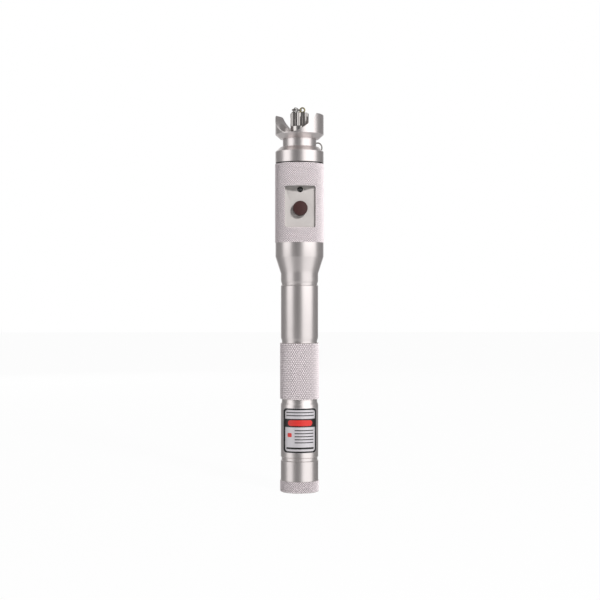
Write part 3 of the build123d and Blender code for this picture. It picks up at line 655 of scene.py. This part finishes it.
def satin_aluminium():
    """Clear anodised shells with knurls, a slot and a window; shade is painted in the knurl's grooves, in the
    slot and on the window's walls.
    """
    colours = settings("finishes")
    plain = tuple(colours.aluminium)
    figures = dict(metallic=1.0, roughness=0.33, Specular_IOR_Level=0.12)
    material, tree, principled = shader("satin_aluminium", plain, **figures)
    lines = rings(tree, TURNED_GRAIN)
    bump(tree, lines, 0.25, 0.004 * MM, principled)
    groove = node(tree, "ShaderNodeAttribute", attribute_name="groove").outputs["Fac"]
    knurled = node(tree, "ShaderNodeAttribute", attribute_name="knurled").outputs["Fac"]

    turned = math_node(tree, "MULTIPLY", lines, TURNED_SPREAD)
    turned = math_node(tree, "ADD", turned, TURNED_ROUGHNESS)
    rough = math_node(tree, "ADD", turned, math_node(tree, "MULTIPLY", knurled, KNURL_ROUGHNESS))
    wire(tree, rough, principled.inputs["Roughness"])
    spread(tree, knurled, 1.0, KNURL_METALLIC, principled.inputs["Metallic"])

    # painted shade in the knurl's grooves, darkest at their bottoms
    groove_shading = node(tree, "ShaderNodeMapRange")
    groove_shading.inputs["From Min"].default_value = GROOVE_SHADE_START
    wire(tree, groove, groove_shading.inputs["Value"])
    diamonds = tone(tree, groove_shading.outputs[0], colours.knurl_crest, colours.knurl_groove_shade)
    colour = covered(tree, clouded(tree, plain), knurled, diamonds)
    # painted shade in the seam slot
    colour = covered(tree, colour, seam_painted_shade(tree), SEAM_SHADE_COLOUR)
    # painted shade on the window's walls
    colour = covered(tree, colour, window_painted_shade(tree), WINDOW_SHADE_COLOUR)
    wire(tree, colour, principled.inputs["Base Color"])
    return material


def within(tree, low, high, reach):
    """1 between two heights and nearer than the reach to the tool's axis."""
    above = math_node(tree, "GREATER_THAN", object_parts(tree)["Z"], low)
    below = math_node(tree, "LESS_THAN", object_parts(tree)["Z"], high)
    inside = math_node(tree, "LESS_THAN", axis_radius(tree), reach)
    return math_node(tree, "MULTIPLY", math_node(tree, "MULTIPLY", above, below), inside)


def seam_painted_shade(tree):
    """1 inside the slot between the head's barrel and its shoulder, where shade is painted."""
    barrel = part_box("head_barrel")[1]
    top = barrel.z + SEAM_HEIGHT + SEAM_MARGIN
    return within(tree, barrel.z - SEAM_MARGIN, top, barrel.x - SEAM_WALL)


def window_painted_shade(tree):
    """1 on the walls of the head's window, where shade is painted."""
    low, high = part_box("switch_plate")
    return within(tree, low.z, high.z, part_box("head_barrel")[1].x - WINDOW_WALL)


def plate_aluminium():
    """Fine blasted plate."""
    colour = tuple(settings("finishes").plate)
    material, tree, principled = shader("plate_aluminium", colour, roughness=0.55, Specular_IOR_Level=0.2)
    grain = noise(tree, 6000.0, 4.0)
    spread(tree, grain, 0.44, 0.56, principled.inputs["Roughness"])
    tint(tree, noise(tree, 900.0, 4.0), scaled(colour, 0.95), scaled(colour, 1.05), principled)
    bump(tree, grain, 0.3, 0.01 * MM, principled)
    return material


def nickel():
    """Bright plate, darkened as painted shade wherever it lies nearer the axis than the dust cap's ridges, as
    in the hollows between them.
    """
    colour = tuple(settings("finishes").nickel)
    material, tree, principled = shader("nickel", colour, metallic=1.0, roughness=0.16)
    spread(tree, rings(tree, 5000.0), 0.12, 0.2, principled.inputs["Roughness"])
    cap_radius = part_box("dust_cap")[1].x
    # painted shade: 0 in the hollows between the cap's ridges and nearer the axis, 1 on the ridges
    bright = node(tree, "ShaderNodeMapRange")
    bright.inputs["From Min"].default_value = cap_radius - RIDGE_SHADE_DEPTH
    bright.inputs["From Max"].default_value = cap_radius - RIDGE_CREST
    wire(tree, axis_radius(tree), bright.inputs["Value"])
    tint(tree, bright.outputs[0], scaled(colour, 0.16), colour, principled)
    return material


def dark_nickel():
    """The ring's and the chain's plate, darkened from the nickel as painted shade."""
    return metal("dark_nickel", tuple(settings("finishes").dark_nickel), 0.2)


def aged_brass():
    return metal("aged_brass", tuple(settings("finishes").aged_brass), 0.24)


def brass():
    return metal("brass", tuple(settings("finishes").brass), 0.22, turned=True)


def steel():
    return metal("steel", (0.60, 0.59, 0.58), 0.24, grain=4000.0)


def moulded(name, colour, roughness, grain=1500.0, depth=0.01 * MM, **extra):
    """Moulded plastic or rubber with a fine pebble."""
    material, tree, principled = shader(name, colour, roughness=roughness, **extra)
    pebble = noise(tree, grain, 3.0)
    rough = principled.inputs["Roughness"]
    spread(tree, pebble, roughness - PEBBLE_SPREAD, roughness + PEBBLE_SPREAD, rough)
    tint(tree, noise(tree, 260.0, 2.0), scaled(colour, 0.88), scaled(colour, 1.12), principled)
    bump(tree, pebble, 0.3, depth, principled)
    return material


def button_red():
    return moulded("button_red", tuple(settings("finishes").button), 0.45, 2200.0, 0.012 * MM)


def led_dark():
    return moulded("led_dark", (0.006, 0.005, 0.006), 0.12, 800.0, 0.002 * MM, Coat_Weight=0.6)


def black_plastic():
    return moulded("black_plastic", (0.02, 0.02, 0.021), 0.45)


def chip_black():
    return moulded("chip_black", (0.03, 0.03, 0.032), 0.55, 3000.0)


def green_board():
    return moulded("green_board", (0.02, 0.14, 0.06), 0.3, 900.0)


def red_wire():
    return moulded("red_wire", (0.5, 0.02, 0.015), 0.4)


def cell_wrap():
    return moulded("cell_wrap", (0.03, 0.07, 0.22), 0.25, 700.0, 0.003 * MM, Coat_Weight=0.5)


def black_rubber():
    return moulded("black_rubber", (0.012, 0.012, 0.012), 0.62, 2600.0, 0.02 * MM)


def white_ceramic():
    return moulded("white_ceramic", (0.85, 0.84, 0.80), 0.12, 600.0, 0.002 * MM)


def label_foil():
    """A satin metallised film."""
    colour = tuple(settings("finishes").label_foil)
    material, tree, principled = shader("label_foil", colour, metallic=0.35, roughness=0.45)
    grain = noise(tree, 5000.0, 2.0, stretch=(1, 1, 0.15))
    spread(tree, grain, 0.40, 0.52, principled.inputs["Roughness"])
    tint(tree, noise(tree, 240.0, 2.0), scaled(colour, 0.96), scaled(colour, 1.04), principled)
    bump(tree, grain, 0.2, 0.003 * MM, principled)
    return material


def label_black():
    return moulded("label_black", (0.008, 0.007, 0.007), 0.3, 4000.0, 0.002 * MM)


def label_red():
    return moulded("label_red", tuple(settings("finishes").label_red), 0.35, 4000.0, 0.002 * MM)


def lens_glass():
    """Clear glass with a faint tint."""
    clear = dict(roughness=0.03, IOR=1.52, Transmission_Weight=1.0)
    material, tree, principled = shader("lens_glass", (0.95, 0.97, 0.96), **clear)
    spread(tree, noise(tree, 300.0), 0.02, 0.05, principled.inputs["Roughness"])
    return material


FINISHES = {
    maker.__name__: maker
    for maker in (
        satin_aluminium, plate_aluminium, nickel, dark_nickel, brass, aged_brass, steel,
        button_red, led_dark, black_plastic, chip_black, green_board, red_wire, cell_wrap,
        label_foil, label_black, label_red, lens_glass, white_ceramic, black_rubber,
    )
}
MADE = {}  # the material of each slot that has been used


def finish(slot):
    """The material of a slot, made once."""
    if slot not in MADE:
        MADE[slot] = FINISHES[slot]()
    return MADE[slot]


def finish_of(cad_node):
    """The material of a CAD node's slot."""
    return finish(SLOT_OF[cad_node])


def blank_material(name):
    """A material whose node tree is empty."""
    material = bpy.data.materials.new(name)
    material.use_nodes = True
    material.node_tree.nodes.clear()
    return material, material.node_tree


# Operators


class PieceOperator:
    """What the operators share."""

    bl_options = {"REGISTER", "UNDO"}


class LOCATOR_OT_carried_pieces(PieceOperator, bpy.types.Operator):
    """Gives every CAD node its finish"""

    bl_idname = "locator.carried_pieces"
    bl_label = "Carried Pieces"

    def execute(self, context):
        for name, piece in NODES.items():
            piece.data.materials.clear()
            piece.data.materials.append(finish_of(name))
        return {"FINISHED"}


class LOCATOR_OT_battery_tube(PieceOperator, bpy.types.Operator):
    """Turns the tube with its knurled grip and tail thread"""

    bl_idname = "locator.battery_tube"
    bl_label = "Battery Tube"

    def execute(self, context):
        sizes = context.scene.knurls
        low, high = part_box("battery_tube")
        thread_height = (low.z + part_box("tail_cap")[1].z) / 2
        columns = QUARTERS * sizes.grip_teeth
        piece = turned_piece("tube_shell", "battery_tube", columns, sizes.grip_pitch, thread_height)
        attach(stand_for(piece, "battery_tube"), "root")
        return {"FINISHED"}


class LOCATOR_OT_head_barrel(PieceOperator, bpy.types.Operator):
    """Turns the knurled head and cuts its window"""

    bl_idname = "locator.head_barrel"
    bl_label = "Head Barrel"

    window_gap: FloatProperty(name="Window gap", description="Round the switch plate", default=0.1 * MM)
    window_corner: FloatProperty(name="Window corner", description="Corner radius", default=1.0 * MM)
    corner_steps: IntProperty(name="Corner steps", description="Facets of a corner", default=8)

    def execute(self, context):
        sizes = context.scene.knurls
        piece = turned_piece("head_shell", "head_barrel", QUARTERS * sizes.head_teeth, sizes.head_pitch)
        self.cut_window(piece)
        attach(stand_for(piece, "head_barrel"), "root")
        return {"FINISHED"}

    def cut_window(self, piece):
        """Cuts the rounded window through the front of the shell."""
        ring = self.window_outline()
        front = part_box("head_barrel")[0].y - MM
        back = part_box("switch_plate")[1].y
        count = len(ring)
        points = [(x, y, z) for y in (front, back) for x, z in ring]
        faces = [tuple(range(count)), tuple(range(2 * count - 1, count - 1, -1))]
        faces += [(k, count + k, count + (k + 1) % count, (k + 1) % count) for k in range(count)]
        mesh = bpy.data.meshes.new("window_cutter")
        mesh.from_pydata(points, [], faces)
        facing_out(mesh)
        cutter = link_object("window_cutter", mesh)
        cut = piece.modifiers.new("window", "BOOLEAN")
        cut.operation = "DIFFERENCE"
        cut.solver = "EXACT"
        cut.object = cutter
        keep_result(piece, cut)
        bpy.data.objects.remove(cutter)
        shade(piece.data)

    def window_outline(self):
        """The (x, z) corners of the rounded window, from the plate that it shows."""
        low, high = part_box("switch_plate")
        half_x = (high.x - low.x) / 2 + self.window_gap
        half_z = (high.z - low.z) / 2 + self.window_gap
        middle = (high.z + low.z) / 2
        ring = []
        for quarter, (sign_x, sign_z) in enumerate(((1, 1), (-1, 1), (-1, -1), (1, -1))):
            for k in range(self.corner_steps + 1):
                turn = math.pi / 2 * (quarter + k / self.corner_steps)
                x = sign_x * (half_x - self.window_corner) + self.window_corner * math.cos(turn)
                z = sign_z * (half_z - self.window_corner) + self.window_corner * math.sin(turn)
                ring.append((x, middle + z))
        return ring


class LOCATOR_OT_switch_plate(PieceOperator, bpy.types.Operator):
    """Sets the switch plate with the two shelves that close its recess"""

    bl_idname = "locator.switch_plate"
    bl_label = "Switch Plate"

    shelf_thickness: FloatProperty(name="Shelf", description="Thickness of a shelf", default=0.6 * MM)
    wall: FloatProperty(
        name="Wall", description="From the knurl's crests in to the chamber", default=1.8 * MM
    )
    arc_steps: IntProperty(name="Arc steps", description="Facets of a shelf's front", default=24)

    def execute(self, context):
        mesh = merged_copy("switch_plate", "plate_tray")
        low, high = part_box("switch_plate")
        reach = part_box("head_barrel")[1].x - self.wall
        outline = self.shelf_outline(reach, high.x, low.y + self.shelf_thickness)
        work = bmesh.new()
        work.from_mesh(mesh)
        for bottom in (low.z - self.shelf_thickness, high.z):
            self.add_shelf(work, outline, bottom)
        work.to_mesh(mesh)
        work.free()
        piece = link_object("plate_tray", mesh)
        piece.data.materials.append(finish_of("switch_plate"))
        shade(piece.data)
        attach(stand_for(piece, "switch_plate"), "root")
        return {"FINISHED"}

    def shelf_outline(self, reach, half, back):
        """From above: the chamber's round wall in front, the plate's edge behind."""
        end = math.asin(half / reach)
        turns = [end * (2 * k / self.arc_steps - 1) for k in range(self.arc_steps + 1)]
        front = [(reach * math.sin(turn), -reach * math.cos(turn)) for turn in turns]
        return [*front, (half, back), (-half, back)]

    def add_shelf(self, work, outline, bottom):
        """Adds a closed slab of the outline to the mesh at work."""
        levels = (bottom, bottom + self.shelf_thickness)
        lower, upper = ([work.verts.new((x, y, z)) for x, y in outline] for z in levels)
        faces = [work.faces.new(lower), work.faces.new(upper)]
        for k in range(len(outline)):
            after = (k + 1) % len(outline)
            faces.append(work.faces.new((lower[k], lower[after], upper[after], upper[k])))
        bmesh.ops.recalc_face_normals(work, faces=faces)


class LOCATOR_OT_tail_cap(PieceOperator, bpy.types.Operator):
    """Turns the tail cap with its knurled band"""

    bl_idname = "locator.tail_cap"
    bl_label = "Tail Cap"

    def execute(self, context):
        sizes = context.scene.knurls
        piece = turned_piece("tail_cap_shell", "tail_cap", QUARTERS * sizes.cap_teeth, sizes.cap_pitch)
        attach(stand_for(piece, "tail_cap"), BODY_OF["tail_cap"])
        return {"FINISHED"}


class LOCATOR_OT_optical_port(PieceOperator, bpy.types.Operator):
    """Turns the port with its thread"""

    bl_idname = "locator.optical_port"
    bl_label = "Optical Port"

    thread_below_top: FloatProperty(
        name="Thread place", description="A height on the thread, below the port's rim", default=2.0 * MM
    )

    def execute(self, context):
        thread_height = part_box("adapter_barrel")[1].z - self.thread_below_top
        piece = turned_piece("port_barrel", "adapter_barrel", PORT_COLUMNS, thread_height=thread_height)
        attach(stand_for(piece, "adapter_barrel"), "root")
        return {"FINISHED"}


class LOCATOR_OT_tether(PieceOperator, bpy.types.Operator):
    """Hangs the chain between the head and the cap's swivel"""

    bl_idname = "locator.tether"
    bl_label = "Tether Chain"

    def execute(self, context):
        piece = copied_piece("chain_links", "tether_chain", WIRE_SHARP)
        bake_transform(piece)
        stand_for(piece, "tether_chain")
        return {"FINISHED"}


class LOCATOR_OT_tail_spring(PieceOperator, bpy.types.Operator):
    """Sets the battery spring between the tube and the cap's contact"""

    bl_idname = "locator.tail_spring"
    bl_label = "Tail Spring"

    def execute(self, context):
        piece = copied_piece("battery_spring", "tail_spring", WIRE_SHARP)
        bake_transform(piece)
        stand_for(piece, "tail_spring")
        return {"FINISHED"}


class LOCATOR_OT_snap_dome(PieceOperator, bpy.types.Operator):
    """Seats the switch's snap disc on the root body in its resting shape; the real disc flattens as the
    button goes in
    """

    bl_idname = "locator.snap_dome"
    bl_label = "Snap Dome"

    def execute(self, context):
        piece = copied_piece("snap_disc", "switch_dome")
        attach(piece, "root")
        stand_for(piece, "switch_dome")
        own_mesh(piece)
        return {"FINISHED"}


class LOCATOR_OT_studio(PieceOperator, bpy.types.Operator):
    """Sets the table, the light tent, the lamps and the camera"""

    bl_idname = "locator.studio"
    bl_label = "Studio"

    def execute(self, context):
        studio = context.scene.studio
        context.scene.view_settings.view_transform = "Standard"
        self.world(studio)
        self.table()
        self.tent()
        self.lamps()
        self.camera(context, studio)
        return {"FINISHED"}

    def world(self, studio):
        """White for the eye and for gloss, and plain ambient light for the rest."""
        world = bpy.data.worlds.new("studio")
        world.use_nodes = True
        tree = world.node_tree
        tree.nodes.clear()
        path = node(tree, "ShaderNodeLightPath")
        seen = math_node(tree, "MAXIMUM", path.outputs["Is Camera Ray"], path.outputs["Is Glossy Ray"])
        seen = math_node(tree, "MAXIMUM", seen, path.outputs["Is Transmission Ray"])
        paper = node(tree, "ShaderNodeBackground")
        paper.inputs["Color"].default_value = (1, 1, 1, 1)
        ambient = node(tree, "ShaderNodeBackground")
        ambient.inputs["Color"].default_value = (1, 1, 1, 1)
        ambient.inputs["Strength"].default_value = studio.ambient
        mix = node(tree, "ShaderNodeMixShader")
        wire(tree, seen, mix.inputs["Fac"])
        wire(tree, ambient.outputs[0], mix.inputs[1])
        wire(tree, paper.outputs[0], mix.inputs[2])
        wire(tree, mix.outputs[0], node(tree, "ShaderNodeOutputWorld").inputs["Surface"])
        bpy.context.scene.world = world

    def table(self):
        """A pale table top under the standing tool."""
        corners = [(x * TABLE_HALF, y * TABLE_HALF, 0) for x, y in ((-1, -1), (1, -1), (1, 1), (-1, 1))]
        mesh = bpy.data.meshes.new("table_top")
        mesh.from_pydata(corners, [], [(0, 1, 2, 3)])
        table = link_object("table_top", mesh)
        material, tree = blank_material("table_paper")
        path = node(tree, "ShaderNodeLightPath")
        paper = node(tree, "ShaderNodeBsdfDiffuse")
        paper.inputs["Color"].default_value = (TABLE_GREY, TABLE_GREY, TABLE_GREY, 1)
        glow = node(tree, "ShaderNodeEmission")
        share = math_node(tree, "MULTIPLY", path.outputs["Is Camera Ray"], TABLE_GLOW)
        mix = node(tree, "ShaderNodeMixShader")
        wire(tree, share, mix.inputs["Fac"])
        wire(tree, paper.outputs[0], mix.inputs[1])
        wire(tree, glow.outputs[0], mix.inputs[2])
        wire(tree, mix.outputs[0], node(tree, "ShaderNodeOutputMaterial").inputs["Surface"])
        table.data.materials.append(material)
        table.visible_glossy = False

    def tent(self):
        """A tent that only gloss sees: grey, with soft windows in front, at the back and below."""
        work = bmesh.new()
        bmesh.ops.create_uvsphere(work, u_segments=48, v_segments=24, radius=TENT_RADIUS)
        mesh = bpy.data.meshes.new("light_tent")
        work.to_mesh(mesh)
        work.free()
        tent = link_object("light_tent", mesh)
        material, tree = blank_material("tent_cloth")
        parts = object_parts(tree)
        bearing = math_node(tree, "ARCTAN2", parts["X"], math_node(tree, "MULTIPLY", parts["Y"], -1.0))
        rise = math_node(tree, "ARCTAN2", parts["Z"], axis_radius(tree))
        total = TENT_WALL
        for window in SOFT_WINDOWS:
            total = math_node(tree, "ADD", total, self.window(tree, bearing, rise, **window))
        total = math_node(tree, "MAXIMUM", total, TENT_LEAST)
        glow = node(tree, "ShaderNodeEmission")
        wire(tree, total, glow.inputs["Strength"])
        wire(tree, glow.outputs[0], node(tree, "ShaderNodeOutputMaterial").inputs["Surface"])
        tent.data.materials.append(material)
        for ray in ("camera", "diffuse", "transmission", "volume_scatter", "shadow"):
            setattr(tent, f"visible_{ray}", False)

    def window(self, tree, bearing, rise, middle, half_width, edge, low, high, low_edge, level):
        """How bright one soft window is, by bearing and rise in degrees."""
        aside = math_node(tree, "ABSOLUTE", math_node(tree, "SUBTRACT", bearing, math.radians(middle)))
        share = self.fade(tree, aside, half_width + edge / 2, half_width - edge / 2)
        share = math_node(tree, "MULTIPLY", share, self.fade(tree, rise, low, low + low_edge))
        share = math_node(tree, "MULTIPLY", share, self.fade(tree, rise, high + edge / 2, high - edge / 2))
        upper = math_node(tree, "MULTIPLY", self.fade(tree, rise, *FLOOR_FADE), 1 - FLOOR_SHARE)
        share = math_node(tree, "MULTIPLY", share, math_node(tree, "ADD", upper, FLOOR_SHARE))
        return math_node(tree, "MULTIPLY", share, level)

    def fade(self, tree, field, dark, bright):
        """A smooth step between two angles in degrees."""
        ranged = node(tree, "ShaderNodeMapRange", interpolation_type="SMOOTHSTEP")
        ranged.inputs["From Min"].default_value = math.radians(dark)
        ranged.inputs["From Max"].default_value = math.radians(bright)
        wire(tree, field, ranged.inputs["Value"])
        return ranged.outputs[0]

    def lamps(self):
        """Soft lamps for the matt surfaces; gloss sees the tent instead."""
        for name, place, size, power in LAMPS:
            lamp = bpy.data.lights.new(name, "AREA")
            lamp.size = size
            lamp.energy = power
            holder = bpy.data.objects.new(name, lamp)
            bpy.context.scene.collection.objects.link(holder)
            aim = LAMP_AIM - Vector(place)
            holder.location = place
            holder.rotation_euler = aim.to_track_quat("-Z", "Y").to_euler()
            holder.visible_glossy = False

    def camera(self, context, studio):
        """The camera, level with the head and a little to the left of the front."""
        lens = bpy.data.cameras.new("camera")
        lens.lens = studio.lens
        lens.sensor_width = SENSOR
        camera = bpy.data.objects.new("camera", lens)
        context.scene.collection.objects.link(camera)
        place = Vector((studio.aside, -studio.distance, studio.height))
        camera.location = Matrix.Rotation(-studio.bearing, 3, "Z") @ place
        camera.rotation_euler = (math.pi / 2 - studio.tilt, 0, -studio.bearing)
        context.scene.camera = camera


class LOCATOR_PT_panel(bpy.types.Panel):
    """Lists the locator's pieces and sizes."""

    bl_idname = "LOCATOR_PT_panel"
    bl_label = "Fault Locator"
    bl_space_type = "VIEW_3D"
    bl_region_type = "UI"
    bl_category = "Fault Locator"

    def draw(self, context):
        for operator in OPERATORS:
            self.layout.operator(operator.bl_idname)
        for group in SETTINGS:
            box = self.layout.box()
            held = getattr(context.scene, group)
            for key in held.bl_rna.properties.keys():
                if key not in ("name", "rna_type"):
                    box.prop(held, key)


SETTINGS = {"knurls": KnurlSettings, "finishes": FinishSettings, "studio": StudioSettings}
OPERATORS = (
    LOCATOR_OT_carried_pieces,
    LOCATOR_OT_battery_tube,
    LOCATOR_OT_head_barrel,
    LOCATOR_OT_switch_plate,
    LOCATOR_OT_tail_cap,
    LOCATOR_OT_optical_port,
    LOCATOR_OT_tether,
    LOCATOR_OT_tail_spring,
    LOCATOR_OT_snap_dome,
    LOCATOR_OT_studio,
)
CLASSES = (*SETTINGS.values(), *OPERATORS, LOCATOR_PT_panel)


def register():
    for each in CLASSES:
        bpy.utils.register_class(each)
    for name, group in SETTINGS.items():
        setattr(bpy.types.Scene, name, PointerProperty(type=group))


def unregister():
    for name in SETTINGS:
        delattr(bpy.types.Scene, name)
    for each in reversed(CLASSES):
        bpy.utils.unregister_class(each)


def main():
    register()
    for operator in OPERATORS:
        family, name = operator.bl_idname.split(".")
        getattr(getattr(bpy.ops, family), name)()


if __name__ == "__main__":
    main()
